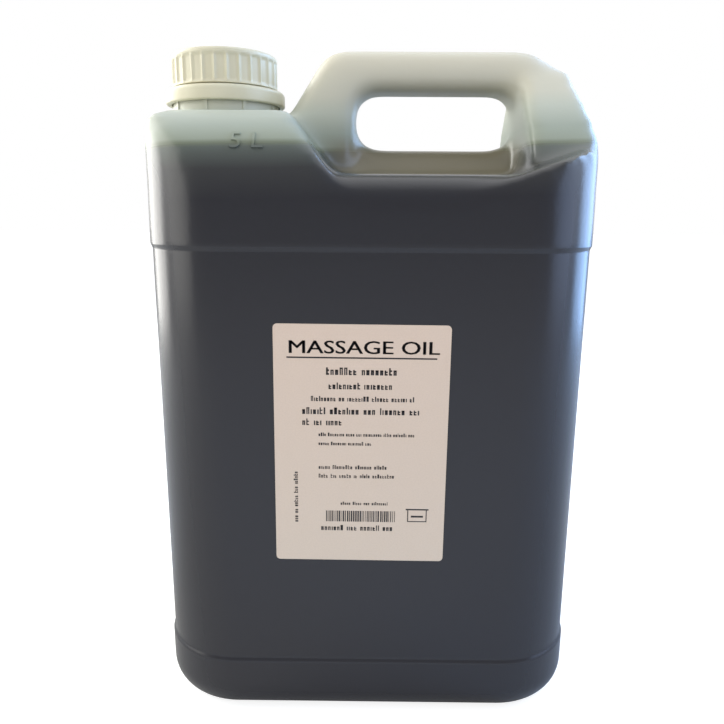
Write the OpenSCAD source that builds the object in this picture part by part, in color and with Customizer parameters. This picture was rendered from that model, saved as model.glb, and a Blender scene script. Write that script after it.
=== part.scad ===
// Five litre blow-moulded canister with a moulded-in handle, a tamper-evident screw closure,
// a paper label and its filling of massage oil. Millimetres, Z up, front towards -Y.
// The origin is the centre of the base, on the surface that the canister stands on.

/* [Body] */
// Width over the foot band and the top band
body_w = 185; // [150:1:225]
// Depth over the foot band and the top band
body_d = 125; // [104:1:155]
// Radius of the four upright corners
corner_r = 35; // [28:1:42]
// Wall thickness of the blow moulding
wall = 1.3; // [1:0.1:2]
// Height of the foot band
foot_h = 26; // [18:1:34]
// Rounding between the base and the walls
base_r = 9; // [6:1:12]
// Depth by which the panels lie behind the two bands
panel_in = 0.8; // [0.5:0.1:1.2]

/* [Shoulder] */
// Height of the deck that carries the neck
deck_z = 259; // [215:1:311]
// Height of the top band, from its lower edge to the deck
top_band_h = 54.5; // [45:0.5:66]
// Rounding of the front and back shoulder
shoulder_r = 33; // [27:1:40]
// Rounding of the shoulder at the neck's end
side_r = 13; // [10:1:15]
// Drop from the deck to the floor of the finger scoops
scoop_drop = 27; // [22:1:32]
// Rounding of the front wall where it runs into a scoop
crest_r = 9; // [6:1:12]

/* [Handle] */
// Height of the handle's top above the deck
handle_rise = 26; // [22:1:32]
// Thickness of the handle, front to back
grip_t = 28; // [23:1:34]
// Height of the grip above the opening
grip_h = 17; // [14:1:20]
// Height of the web between a scoop's floor and the opening
web_h = 13; // [11:1:16]
// Distance from the neck's axis to the left end of the opening
opening_gap = 58; // [52:1:69]
// Distance from the right end of the opening to the right side
post_w = 29.5; // [25:0.5:35]
// Corner radius of the opening
opening_r = 9; // [7:1:10]

/* [Neck] */
// Distance from the left side to the neck's axis
neck_edge = 27.5; // [27:0.5:33]
// Outer diameter of the neck's thread
thread_d = 39.8; // [33:0.2:48]
// Thread pitch
pitch = 4; // [3.4:0.1:4.8]
// Wall between the neck's bore and the root of its thread
neck_wall = 2.3; // [1.9:0.1:2.8]
// How far the collar at the foot of the neck stands out beyond the thread
collar_out = 3.1; // [2.6:0.1:3.8]
// Number of ratchet ribs on the collar
ratchets = 9; // [6:1:12]

/* [Closure] */
// Height of the cap
cap_h = 14.1; // [11.7:0.1:17]
// Wall of the cap, from the root of its thread to the top of its ribs
cap_wall = 2.6; // [2.1:0.1:3.2]
// Number of ribs on the cap
cap_ribs = 28; // [20:1:34]
// Thickness of the cap's top
cap_top = 1.8; // [1.5:0.1:2.2]
// Height of the tamper band
band_h = 6.6; // [5.5:0.1:8]
// Wall of the tamper band at its foot
band_wall = 2.25; // [1.85:0.05:2.7]
// Number of frangible bridges between the band and the cap
bridges = 10; // [6:1:16]
// Thickness of the sealing disc
liner_t = 1.4; // [1:0.1:2]

/* [Label and filling] */
// Width of the label
label_w = 69.5; // [58:0.5:84]
// Height of the label
label_h = 100; // [83:1:120]
// Height of the label's centre above the middle of the panel
label_up = 9.75; // [5:0.25:15]
// Distance of the label's centre from the middle of the front
label_x = -3.4; // [-8:0.1:8]
// Turn of the label on the front, in degrees
label_tilt = 0.3; // [0:0.1:1]
// Distance from the deck down to the oil's surface
ullage = 14.5; // [12:0.5:20]

/* [Hidden] */

$fn = 96;
eps = 0.01;
arc_step = 15;              // turn of each chord in a rounded corner
fit_gap = 0.3;              // clearance between pieces that don't touch
seal_gap = 0.1;             // clearance between flat faces that bear on each other
far = 400;                  // longer than the object in any direction

// Places that follow from the sizes
neck_x = neck_edge - body_w / 2;
handle_z = deck_z + handle_rise;
crest_z = deck_z - scoop_drop;
band_z = deck_z - top_band_h;
open_x0 = neck_x + opening_gap;
open_x1 = body_w / 2 - post_w;
open_z0 = crest_z + web_h;
open_z1 = handle_z - grip_h;

// Outline of the handle and the deck, seen from the front
flank_x = 29;               // neck axis to the foot of the handle's left flank
flank_run = 17;             // how far the left flank leans
flank_r = 14;               // rounding at the top of the left flank
flank_foot_r = 7;           // hollow between the left flank and the deck
lean_z = 14;                // deck down to where the right side begins to lean
lean_r = 20;                // rounding where it begins
lean_top = 9;               // how far the right side leans below its shoulder
shoulder_cut = 25;          // length of the slope at the handle's right shoulder
cut_drop = 9;               // height of that slope
cut_low_r = 10;             // rounding at the slope's lower end
cut_top_r = 14;             // rounding at the slope's upper end
handle_x0 = neck_x + flank_x - flank_foot_r;

// Scoops beside the handle
dome_end = 30;              // neck axis to the end of the deck
dome_slope = 18;            // how far the deck's end leans towards the scoop
wedge_run = 36;             // length of the rising crest at the right end
wedge_rise = 13;            // height that it rises
wedge_back = 14;            // how much the post narrows from there, each side
waist_in = 1;               // how far the web lies behind the grip's faces
waist_half = 4;             // half width of the web at its waist, under the opening
grip_r = 9;                 // rounding of the grip's edges

// Closure, from the deck upwards
band_lift = 3.4;            // deck to the tamper band's lower edge
slit = 0.4;                 // height of the slit between band and cap
band_z0 = deck_z + band_lift;
band_z1 = band_z0 + band_h;
cap_z0 = band_z1 + slit;
cap_z1 = cap_z0 + cap_h;
rim_z = cap_z1 - cap_top - liner_t - seal_gap;
neck_h = rim_z - deck_z;

// Neck and tamper band
tooth_depth = 1.6;          // radial height of a thread tooth
core_r = thread_d / 2 - tooth_depth;
bore_r = core_r - neck_wall;
flare_r = bore_r + 4;       // radius of the bore's flared lower end
flare_h = 4.2;
collar_r = thread_d / 2 + collar_out;
collar_h = 4.2;             // height of the collar above the deck
ratchet_w = 1.4;
ratchet_out = 0.5;
bead_out = 1.3;             // how far the retaining bead stands out beyond the core
bead_h = 1.5;
band_foot_r = collar_r + ratchet_out + fit_gap;
band_r = band_foot_r + band_wall;
band_in_r = max(core_r + bead_out, thread_d / 2) + fit_gap;
band_lip_z0 = deck_z + collar_h + fit_gap;
band_lip_h = 1.4;           // the inner lip that the bead holds down
band_lip_z1 = band_lip_z0 + band_lip_h;
band_lip_r = core_r + bead_out / 2;
band_low_r = 0.8;           // rounding of the band's lower edge
band_top_r = 2;             // rounding of the band's shoulder
band_slope = 1.8;           // height of the slope from that shoulder to the slit
bead_z0 = band_lip_z1 + fit_gap;

// Threads
tooth_root = 2.4;           // axial width of a tooth at its root
tooth_tip = 1.2;            // axial width of a tooth at its tip
thread_gap = 0.4;           // radial clearance between the two threads
sink = 0.5;                 // depth by which teeth and ribs run into their wall
stations = 48;              // stations along each turn of a thread
ramp = 4;                   // stations over which a tooth rises at each end
tooth_start = 0.1;          // share of its height that it starts with
lead_in = 1.6;              // rim to the upper end of the neck's thread
neck_stations = floor(stations * (rim_z - lead_in - tooth_root - bead_z0 - bead_h) / pitch);
neck_thread_z0 = rim_z - lead_in - tooth_root / 2 - pitch * neck_stations / stations;
// The cap's tooth starts half a pitch off the neck's, so that its turns lie between the neck's
turns_below = ceil((cap_z0 + slit + tooth_root / 2 - neck_thread_z0) / pitch - 0.5);
cap_thread_z0 = neck_thread_z0 + (turns_below + 0.5) * pitch;
cap_stations = floor(stations * (rim_z - fit_gap - tooth_root / 2 - cap_thread_z0) / pitch);

// Cap
cap_in_r = core_r + thread_gap + tooth_depth;
cap_r = cap_in_r + cap_wall;
flute_in = 0.6;             // depth of the flutes between the cap's ribs
flute_r = 3.2;              // radius that shapes a flute
flute_end = 0.9;            // plain rim below the flutes
cap_edge_r = 2;
flute_h = cap_h - cap_edge_r - fit_gap - flute_end;
liner_r = cap_in_r - fit_gap;
bridge_w = 1.1;

// Label and oil
label_t = 0.2;
label_r = 1.7;
label_z = (foot_h + band_z) / 2 + label_up;
oil_z = deck_z - ullage;

// ---- outlines -------------------------------------------------------------------------------
// A corner is [x, y, radius]. Corners run anticlockwise, so the inside lies to the left.

function unit(v) = v / norm(v);
function left_of(v) = [-v[1], v[0]];
function xy(c) = [c[0], c[1]];
function turn(a, b) = a[0] * b[1] - a[1] * b[0];

// Directions of the edges that meet at corner i
function edge_in(c, i) = unit(xy(c[i]) - xy(c[(i + len(c) - 1) % len(c)]));
function edge_out(c, i) = unit(xy(c[(i + 1) % len(c)]) - xy(c[i]));

// The same outline moved inwards by d, with each radius following the move
function inset(c, d) = [for (i = [0 : len(c) - 1])
    let (a = edge_in(c, i),
         b = edge_out(c, i),
         s = turn(a, b),
         m = (left_of(a) + left_of(b)) / (1 + a * b),
         p = xy(c[i]) + m * d)
    [p[0], p[1], c[i][2] == 0 ? 0 : max(c[i][2] - sign(s) * d, 0)]];

// Points of one rounded corner
function corner_points(c, i) =
    let (a = edge_in(c, i),
         b = edge_out(c, i),
         s = turn(a, b),
         bend = atan2(s, a * b),
         r = c[i][2],
         cut = r * tan(abs(bend) / 2),
         side = sign(bend),
         centre = xy(c[i]) - a * cut + left_of(a) * side * r,
         n = max(1, ceil(abs(bend) / arc_step)))
    r == 0 ? [xy(c[i])] :
    [for (k = [0 : n])
        let (t = bend * k / n)
        centre - side * r * (left_of(a) * cos(t) - a * sin(t))];

function rounded(c) = [for (i = [0 : len(c) - 1]) each corner_points(c, i)];

module outline(c, d = 0) {
    polygon(rounded(inset(c, d)));
}

// A front-view outline run through from front to back
module through_y(c, d = 0) {
    translate([0, far / 2, 0])
        rotate([90, 0, 0])
            linear_extrude(far)
                outline(c, d);
}

// A side-view outline, given as [y, z, radius], run from x0 to x1
module through_x(c, x0, x1, d = 0) {
    translate([x0, 0, 0])
        rotate([90, 0, 90])
            linear_extrude(x1 - x0)
                outline(c, d);
}

// ---- canister -------------------------------------------------------------------------------

// Half section of the walls, measured outwards from a corner's centre
function wall_section(d) = [
    [-d, 0, 0],
    [corner_r, 0, base_r],
    [corner_r, foot_h, 0],
    [corner_r - panel_in, foot_h + panel_in, 0],
    [corner_r - panel_in, band_z - panel_in, 0],
    [corner_r, band_z, 0],
    [corner_r, far, 0],
    [-d, far, 0]];

// One straight wall, from the corner centres outwards
module straight_wall(length, reach, d) {
    translate([reach, length / 2, 0])
        rotate([90, 0, 0])
            linear_extrude(length)
                outline(wall_section(d), d);
}

// The walls and what they enclose, moved inwards by d and open-ended at the top
module column(d) {
    flat_w = body_w - 2 * corner_r;
    flat_d = body_d - 2 * corner_r;
    for (side = [0, 1])
        rotate([0, 0, side * 180]) {
            straight_wall(flat_d, flat_w / 2, d);
            rotate([0, 0, 90])
                straight_wall(flat_w, flat_d / 2, d);
        }
    for (sx = [-1, 1], sy = [-1, 1])
        translate([sx * flat_w / 2, sy * flat_d / 2, 0])
            rotate([0, 0, sx > 0 ? (sy > 0 ? 0 : 270) : (sy > 0 ? 90 : 180)])
                rotate_extrude(angle = 90)
                    outline(wall_section(d), d);
    translate([-flat_w / 2, -flat_d / 2, d])
        cube([flat_w, flat_d, far - 2 * d]);
}

// The whole canister seen from the front
front_view = [
    [-body_w / 2, -far / 2, 0],
    [body_w / 2, -far / 2, 0],
    [body_w / 2, deck_z - lean_z, lean_r],
    [body_w / 2 - lean_top, handle_z - cut_drop, cut_low_r],
    [body_w / 2 - shoulder_cut, handle_z, cut_top_r],
    [neck_x + flank_x + flank_run, handle_z, flank_r],
    [neck_x + flank_x, deck_z, flank_foot_r],
    [-body_w / 2, deck_z, side_r]];

// Side view through the deck
deck_view = [
    [-body_d / 2, -far / 2, 0],
    [body_d / 2, -far / 2, 0],
    [body_d / 2, deck_z, shoulder_r],
    [-body_d / 2, deck_z, shoulder_r]];

// Side view through the scoops
low_view = [
    [-body_d / 2, -far / 2, 0],
    [body_d / 2, -far / 2, 0],
    [body_d / 2, crest_z, crest_r],
    [-body_d / 2, crest_z, crest_r]];

// Side view through the handle
grip_view = [
    [-grip_t / 2, crest_z - scoop_drop, 0],
    [grip_t / 2, crest_z - scoop_drop, 0],
    [grip_t / 2, handle_z, grip_r],
    [-grip_t / 2, handle_z, grip_r]];

// Side view through the bar over the opening
bar_view = [
    [-grip_t / 2, open_z1 - opening_r, 0],
    [grip_t / 2, open_z1 - opening_r, 0],
    [grip_t / 2, handle_z, grip_r],
    [-grip_t / 2, handle_z, grip_r]];

// Side view through the handle's right post, which narrows from the crest to the grip
post_half = body_d / 2 - wedge_back;
post_view = [
    [-post_half, crest_z - scoop_drop, 0],
    [post_half, crest_z - scoop_drop, 0],
    [post_half, crest_z, 0],
    [grip_t / 2, handle_z - cut_drop, 0],
    [-grip_t / 2, handle_z - cut_drop, 0],
    [-post_half, crest_z, 0]];

// Side view through the web, which has its waist at the opening's lower edge
web_half = grip_t / 2 - waist_in;
web_view = [
    [-web_half, crest_z - scoop_drop, 0],
    [web_half, crest_z - scoop_drop, 0],
    [web_half, crest_z, 0],
    [waist_half, open_z0, 0],
    [web_half, open_z0 + opening_r, 0],
    [-web_half, open_z0 + opening_r, 0],
    [-waist_half, open_z0, 0],
    [-web_half, crest_z, 0]];

// Front view of what rises to the deck: the neck's end
dome_front = [
    [-far / 2, -far / 2, 0],
    [neck_x + dome_end + dome_slope, -far / 2, 0],
    [neck_x + dome_end + dome_slope, crest_z, 0],
    [neck_x + dome_end - dome_slope, deck_z + scoop_drop, 0],
    [-far / 2, deck_z + scoop_drop, 0]];

// Front view of the crest that rises towards the right corner
wedge_front = [
    [body_w / 2 - wedge_run, -far / 2, 0],
    [far / 2, -far / 2, 0],
    [far / 2, crest_z + wedge_rise, 0],
    [body_w / 2, crest_z + wedge_rise, 0],
    [body_w / 2 - wedge_run, crest_z, 0]];

// Front view of the opening
opening_front = [
    [open_x0, open_z0, opening_r],
    [open_x1, open_z0, opening_r],
    [open_x1, open_z1, opening_r],
    [open_x0, open_z1, opening_r]];

// The canister's skin moved inwards by d, without the neck
module vessel(d) {
    difference() {
        intersection() {
            column(d);
            through_y(front_view, d);
            union() {
                through_x(low_view, -far / 2, far / 2, d);
                intersection() {
                    through_x(deck_view, -far / 2, far / 2, d);
                    through_y(dome_front, d);
                }
                intersection() {
                    through_x(deck_view, -far / 2, far / 2, d);
                    through_y(wedge_front, d);
                }
                through_x(post_view, open_x1 + d, far / 2, d);
                // The handle's left end and its right end, with the web and the bar between them
                through_x(grip_view, handle_x0, open_x0 - d, d);
                through_x(grip_view, open_x1 + d, far / 2, d);
                through_x(web_view, open_x0 - opening_r, open_x1 + opening_r, d);
                through_x(bar_view, open_x0 - opening_r, open_x1 + opening_r, d);
            }
        }
        through_y(opening_front, -d);
    }
}

// One helical tooth, from its root radius to its tip radius, with its lower end and last station
module helix_tooth(root_r, tip_r, z0, last) {
    // Points of the tooth's section at station i, which grows from nothing at both ends
    function section(i) =
        let (grow = max(tooth_start, min(1, i / ramp, (last - i) / ramp)),
             a = 360 * i / stations,
             z = z0 + pitch * i / stations,
             tip = root_r + (tip_r - root_r) * grow)
        [for (p = [[root_r, -tooth_root / 2], [tip, -tooth_tip / 2],
                   [tip, tooth_tip / 2], [root_r, tooth_root / 2]])
            [p[0] * cos(a), p[0] * sin(a), z + p[1]]];
    sides = [for (i = [0 : last - 1], k = [0 : 3])
        each let (a = 4 * i + k, b = 4 * i + (k + 1) % 4)
        [[a, b, b + 4], [a, b + 4, a + 4]]];
    ends = [[3, 2, 1], [3, 1, 0],
            [4 * last, 4 * last + 1, 4 * last + 2], [4 * last, 4 * last + 2, 4 * last + 3]];
    all_faces = concat(sides, ends);
    polyhedron(
        points = [for (i = [0 : last]) each section(i)],
        faces = tip_r > root_r ? all_faces : [for (f = all_faces) [f[2], f[1], f[0]]]);
}

// Everything of the neck that lies outside its bore, but for the thread
module neck_outside() {
    skirt = side_r + wall;
    translate([neck_x, 0, deck_z - skirt])
        cylinder(h = skirt + collar_h, r = collar_r);
    translate([neck_x, 0, deck_z])
        cylinder(h = neck_h, r = core_r);
    // Retaining bead that holds the tamper band down
    translate([neck_x, 0, bead_z0])
        cylinder(h = bead_h, r = core_r + bead_out);
    for (i = [0 : ratchets - 1])
        translate([neck_x, 0, deck_z])
            rotate([0, 0, 360 * (i + 0.5) / ratchets])
                translate([collar_r - sink, -ratchet_w / 2, -sink])
                    cube([ratchet_out + sink, ratchet_w, collar_h + sink]);
}

// Bore of the neck, flared where it opens into the canister
module neck_bore() {
    translate([neck_x, 0, deck_z - side_r])
        cylinder(h = far, r = bore_r);
    translate([neck_x, 0, deck_z - wall - eps])
        cylinder(h = flare_h, r1 = flare_r, r2 = bore_r);
}

module canister() {
    color("#c9ccbc") {
        difference() {
            union() {
                vessel(0);
                neck_outside();
            }
            vessel(wall);
            neck_bore();
        }
        translate([neck_x, 0, 0])
            helix_tooth(core_r - sink, thread_d / 2, neck_thread_z0, neck_stations);
    }
}

// ---- closure --------------------------------------------------------------------------------

module screw_cap() {
    color("#dcd8bd")
        translate([neck_x, 0, 0]) {
            difference() {
                rotate_extrude()
                    outline([
                        [0, cap_z0, 0],
                        [cap_r, cap_z0, 0],
                        [cap_r, cap_z1, cap_edge_r],
                        [0, cap_z1, 0]]);
                translate([0, 0, cap_z0 - eps])
                    cylinder(h = cap_z1 - cap_top - cap_z0 + eps, r = cap_in_r);
                for (i = [0 : cap_ribs - 1])
                    rotate([0, 0, 360 * (i + 0.5) / cap_ribs])
                        translate([cap_r - flute_in + flute_r, 0, cap_z0 + flute_end])
                            cylinder(h = flute_h, r = flute_r, $fn = 24);
            }
            helix_tooth(cap_in_r + sink, core_r + thread_gap, cap_thread_z0, cap_stations);
        }
}

module tamper_band() {
    color("#dcd8bd")
        translate([neck_x, 0, 0])
            rotate_extrude()
                outline([
                    [band_foot_r, band_z0, 0],
                    [band_r, band_z0, band_low_r],
                    [band_r, band_z1 - band_slope, band_top_r],
                    [cap_r, band_z1, 0],
                    [band_in_r, band_z1, 0],
                    [band_in_r, band_lip_z1, 0],
                    [band_lip_r, band_lip_z1, 0],
                    [band_lip_r, band_lip_z0, 0],
                    [band_foot_r, band_lip_z0, 0]]);
}

module tamper_bridges() {
    color("#dcd8bd")
        for (i = [0 : bridges - 1])
            translate([neck_x, 0, band_z1])
                rotate([0, 0, 360 * i / bridges])
                    translate([(cap_in_r + cap_r - flute_in - bridge_w) / 2, -bridge_w / 2, 0])
                        cube([bridge_w, bridge_w, slit - seal_gap]);
}

module cap_liner() {
    color("#f0efe8")
        translate([neck_x, 0, rim_z + seal_gap])
            cylinder(h = liner_t - seal_gap, r = liner_r);
}

// ---- label and filling ----------------------------------------------------------------------

module front_label() {
    color("#d8cbbf")
        translate([label_x, panel_in - body_d / 2, label_z])
            rotate([90, label_tilt, 0])
                linear_extrude(label_t)
                    outline([
                        [-label_w / 2, -label_h / 2, label_r],
                        [label_w / 2, -label_h / 2, label_r],
                        [label_w / 2, label_h / 2, label_r],
                        [-label_w / 2, label_h / 2, label_r]]);
}

module massage_oil() {
    color("#1c2530")
        intersection() {
            vessel(wall + fit_gap);
            translate([-far / 2, -far / 2, 0])
                cube([far, far, oil_z]);
        }
}

canister();
screw_cap();
tamper_band();
tamper_bridges();
cap_liner();
front_label();
massage_oil();
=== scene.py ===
# Five litre blow-moulded oil canister with a screw cap: its looks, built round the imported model.
import math
import random

import bmesh
import bpy
from mathutils import Matrix, Vector


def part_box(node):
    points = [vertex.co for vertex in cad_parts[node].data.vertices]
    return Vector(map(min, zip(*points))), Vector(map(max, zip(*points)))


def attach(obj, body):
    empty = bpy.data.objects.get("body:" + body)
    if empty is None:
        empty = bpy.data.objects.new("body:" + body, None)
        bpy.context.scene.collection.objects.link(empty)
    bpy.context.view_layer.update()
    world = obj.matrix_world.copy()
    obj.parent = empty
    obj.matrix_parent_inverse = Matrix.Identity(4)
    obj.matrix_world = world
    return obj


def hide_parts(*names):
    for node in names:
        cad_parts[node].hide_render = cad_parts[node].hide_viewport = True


bl_info = {
    "name": "Oil canister",
    "version": (1, 0, 0),
    "blender": (4, 5, 0),
    "location": "3D Viewport > Sidebar > Canister",
    "description": "Builds a filled blow-moulded canister with its screw cap, tamper band and label",
    "category": "Add Mesh",
}

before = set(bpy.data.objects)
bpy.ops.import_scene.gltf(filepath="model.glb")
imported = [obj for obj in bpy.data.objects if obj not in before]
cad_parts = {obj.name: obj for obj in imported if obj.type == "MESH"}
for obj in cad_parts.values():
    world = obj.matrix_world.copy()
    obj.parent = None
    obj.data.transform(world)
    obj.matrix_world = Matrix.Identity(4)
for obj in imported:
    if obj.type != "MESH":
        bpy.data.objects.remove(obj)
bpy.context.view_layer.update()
MM = 0.001

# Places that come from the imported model
SHELL_LO, SHELL_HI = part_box("canister")
CAP_LO, CAP_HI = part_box("screw_cap")
BAND_LO, BAND_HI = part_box("tamper_band")
LINER_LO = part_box("cap_liner")[0]
LABEL_LO, LABEL_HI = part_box("front_label")
OIL_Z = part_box("massage_oil")[1][2]
NECK_X = (CAP_LO[0] + CAP_HI[0]) / 2
HALF_W = (SHELL_HI[0] - SHELL_LO[0]) / 2
HALF_D = (SHELL_HI[1] - SHELL_LO[1]) / 2
TOP_Z = SHELL_HI[2]
RIM_Z = LINER_LO[2] - 0.1 * MM  # the disc lies this much above the neck's rim
DECK_Z = BAND_LO[2] - 3.4 * MM  # the collar shows under the band
SCOOP_DROP = 27 * MM
CREST_Z = DECK_Z - SCOOP_DROP

# Sizes that several pieces share
CORNER_R = 35 * MM  # upright corners of the body
WALL = 1.6 * MM  # from the skin's outside to the oil
PITCH = 4 * MM  # of the neck's and the cap's thread


# ---- small helpers --------------------------------------------------------------------------


def linear(hex_colour):
    """sRGB hex such as "#d8d4b8" as linear RGBA."""
    parts = [int(hex_colour[i:i + 2], 16) / 255 for i in (1, 3, 5)]
    return [c / 12.92 if c <= 0.04045 else ((c + 0.055) / 1.055) ** 2.4 for c in parts] + [1.0]


def node(tree, kind, links=None, inputs=None, **settings):
    """Adds one node with its settings, its socket values and the sockets that feed it."""
    made = tree.nodes.new(kind)
    for name, value in settings.items():
        setattr(made, name, value)
    for name, value in (inputs or {}).items():
        made.inputs[name].default_value = value
    for name, source in (links or {}).items():
        tree.links.new(source, made.inputs[name])
    return made


def ramp(tree, factor, stops):
    """A colour ramp fed by factor, with (position, colour) stops."""
    made = node(tree, "ShaderNodeValToRGB", {"Fac": factor})
    while len(made.color_ramp.elements) < len(stops):
        made.color_ramp.elements.new(0.5)
    for element, (place, colour) in zip(made.color_ramp.elements, stops):
        element.position = place
        element.color = colour if not isinstance(colour, (int, float)) else [colour] * 3 + [1]
    return made.outputs["Color"]


def mixed_colour(tree, factor, first, second, blend="MIX"):
    """Mixes two colours, each of them a socket or a constant, by a factor of either kind."""
    made = node(tree, "ShaderNodeMix", data_type="RGBA", blend_type=blend)
    for index, source in ((0, factor), (6, first), (7, second)):
        if isinstance(source, bpy.types.NodeSocket):
            tree.links.new(source, made.inputs[index])
        else:
            made.inputs[index].default_value = source
    return made.outputs[2]


def new_material(name, **sockets):
    """An empty material with one Principled shader, whose sockets are set straight away."""
    material = bpy.data.materials.new(name)
    material.use_nodes = True
    tree = material.node_tree
    tree.nodes.clear()
    shader = node(tree, "ShaderNodeBsdfPrincipled", inputs=sockets)
    node(tree, "ShaderNodeOutputMaterial", {"Surface": shader.outputs[0]})
    return material, tree, shader


def finish_piece(bm, name, material, body, replaced=()):
    """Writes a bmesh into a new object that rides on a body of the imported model."""
    mesh = bpy.data.meshes.new(name)
    bm.to_mesh(mesh)
    bm.free()
    piece = bpy.data.objects.new(name, mesh)
    bpy.context.scene.collection.objects.link(piece)
    mesh.materials.append(material)
    for polygon in mesh.polygons:
        polygon.use_smooth = True
    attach(piece, body)
    if replaced:
        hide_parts(*replaced)
    return piece


def sharpen(piece, degrees=35):
    """Marks edges sharper than the angle, so that smooth shading stops there."""
    bm = bmesh.new()
    bm.from_mesh(piece.data)
    for edge in bm.edges:
        if len(edge.link_faces) == 2 and edge.calc_face_angle(0) > math.radians(degrees):
            edge.smooth = False
    bm.to_mesh(piece.data)
    bm.free()


def tidy(bm, distance=0.00001):
    """Merges doubles and turns every face outwards."""
    bmesh.ops.remove_doubles(bm, verts=bm.verts, dist=distance)
    bmesh.ops.recalc_face_normals(bm, faces=bm.faces)


def spun(bm, profile, steps, centre):
    """Spins a profile of (radius, height) points a full turn about an upright axis."""
    ring = [bm.verts.new((centre[0] + r, centre[1], z)) for r, z in profile]
    line = [bm.edges.new(pair) for pair in zip(ring, ring[1:])]
    bmesh.ops.spin(bm, geom=ring + line, cent=centre, axis=(0, 0, 1), dvec=(0, 0, 0),
                   angle=2 * math.pi, steps=steps, use_merge=True)
    tidy(bm)


def arc(centre, radius, start, end, steps):
    """Points of an arc, from one angle to another in degrees."""
    angles = [math.radians(start + (end - start) * i / steps) for i in range(steps + 1)]
    return [(centre[0] + radius * math.cos(a), centre[1] + radius * math.sin(a)) for a in angles]


def block(lo, hi):
    """A box between two corners, as a bmesh."""
    bm = bmesh.new()
    bmesh.ops.create_cube(bm, size=1)
    bmesh.ops.scale(bm, verts=bm.verts, vec=[h - l for l, h in zip(lo, hi)])
    bmesh.ops.translate(bm, verts=bm.verts, vec=[(l + h) / 2 for l, h in zip(lo, hi)])
    return bm


def round_edges(bm, edges, radius, segments):
    """Rounds the given edges."""
    bmesh.ops.bevel(bm, geom=list(edges), offset=radius, offset_type="OFFSET", segments=segments,
                    affect="EDGES", profile=0.5, material=-1, clamp_overlap=True)


def slice_off(bm, point, normal):
    """Cuts a convex solid along a plane and drops what lies on the normal's side."""
    cut = bmesh.ops.bisect_plane(bm, geom=bm.verts[:] + bm.edges[:] + bm.faces[:], dist=1e-6,
                                 plane_co=point, plane_no=normal, clear_outer=True)
    edges = [e for e in cut["geom_cut"] if isinstance(e, bmesh.types.BMEdge)]
    if edges:
        bmesh.ops.holes_fill(bm, edges=edges, sides=0)


def slice_round(bm, centre, radius, angles, across):
    """Rounds a convex solid with planes tangent to a cylinder that runs along X or along Y."""
    for degrees in angles:
        a = math.radians(degrees)
        out = Vector((0, math.cos(a), math.sin(a))) if across == "X" else Vector(
            (math.cos(a), 0, math.sin(a)))
        slice_off(bm, Vector(centre) + out * radius, out)


def upright(edge):
    """True for an edge that runs along Z."""
    return abs(edge.verts[0].co.z - edge.verts[1].co.z) > 0.01


def join(target, source):
    """Adds one bmesh to another and frees it."""
    mesh = bpy.data.meshes.new("part")
    source.to_mesh(mesh)
    source.free()
    target.from_mesh(mesh)
    bpy.data.meshes.remove(mesh)


def rounded_polygon(corners, segments=8):
    """Corner points (x, z, radius) as one outline with its corners rounded."""
    points = []
    count = len(corners)
    for i, (x, z, r) in enumerate(corners):
        here = Vector((x, z))
        before = (Vector(corners[i - 1][:2]) - here).normalized()
        after = (Vector(corners[(i + 1) % count][:2]) - here).normalized()
        if r == 0:
            points.append(here)
            continue
        half = before.angle(after) / 2
        centre = here + (before + after).normalized() * (r / math.sin(half))
        first = here + before * (r / math.tan(half)) - centre
        last = here + after * (r / math.tan(half)) - centre
        sweep = first.angle_signed(last)
        for k in range(segments + 1):
            turned = first.copy()
            turned.rotate(Matrix.Rotation(-sweep * k / segments, 2))
            points.append(centre + turned)
    return points


def plate(outlines, half, rounding):
    """A rounded plate that lies in the XZ plane, from outlines of which the later ones are holes."""
    curve = bpy.data.curves.new("plate", "CURVE")
    curve.dimensions = "2D"
    curve.fill_mode = "BOTH"
    curve.extrude = half - rounding
    curve.bevel_depth = rounding
    curve.bevel_resolution = 4
    curve.offset = -rounding
    for outline in outlines:
        spline = curve.splines.new("POLY")
        spline.points.add(len(outline) - 1)
        spline.use_cyclic_u = True
        for point, (x, z) in zip(spline.points, outline):
            point.co = (x, z, 0, 1)
    made = bpy.data.objects.new("plate", curve)
    bpy.context.scene.collection.objects.link(made)
    bpy.context.view_layer.update()
    mesh = bpy.data.meshes.new_from_object(made.evaluated_get(bpy.context.evaluated_depsgraph_get()))
    bm = bmesh.new()
    bm.from_mesh(mesh)
    bpy.data.objects.remove(made)
    bpy.data.curves.remove(curve)
    bpy.data.meshes.remove(mesh)
    bmesh.ops.rotate(bm, verts=bm.verts, cent=(0, 0, 0), matrix=Matrix.Rotation(math.pi / 2, 3, "X"))
    tidy(bm)
    return bm


def letters(text, size, depth):
    """Raised letters as closed solids that stand in the XZ plane and face -Y from y = 0."""
    curve = bpy.data.curves.new("letters", "FONT")
    curve.body = text
    curve.size = size
    curve.resolution_u = 3
    made = bpy.data.objects.new("letters", curve)
    bpy.context.scene.collection.objects.link(made)
    bpy.context.view_layer.update()
    mesh = bpy.data.meshes.new_from_object(made.evaluated_get(bpy.context.evaluated_depsgraph_get()))
    bm = bmesh.new()
    bm.from_mesh(mesh)
    bpy.data.objects.remove(made)
    bpy.data.curves.remove(curve)
    bpy.data.meshes.remove(mesh)
    bmesh.ops.rotate(bm, verts=bm.verts, cent=(0, 0, 0), matrix=Matrix.Rotation(math.pi / 2, 3, "X"))
    bmesh.ops.translate(bm, verts=bm.verts, vec=(-min(v.co.x for v in bm.verts), 0, 0))
    raised = bmesh.ops.extrude_face_region(bm, geom=bm.faces[:])
    bmesh.ops.translate(bm, vec=(0, -depth, 0), verts=[
        v for v in raised["geom"] if isinstance(v, bmesh.types.BMVert)])
    bmesh.ops.recalc_face_normals(bm, faces=bm.faces)
    return bm


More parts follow.
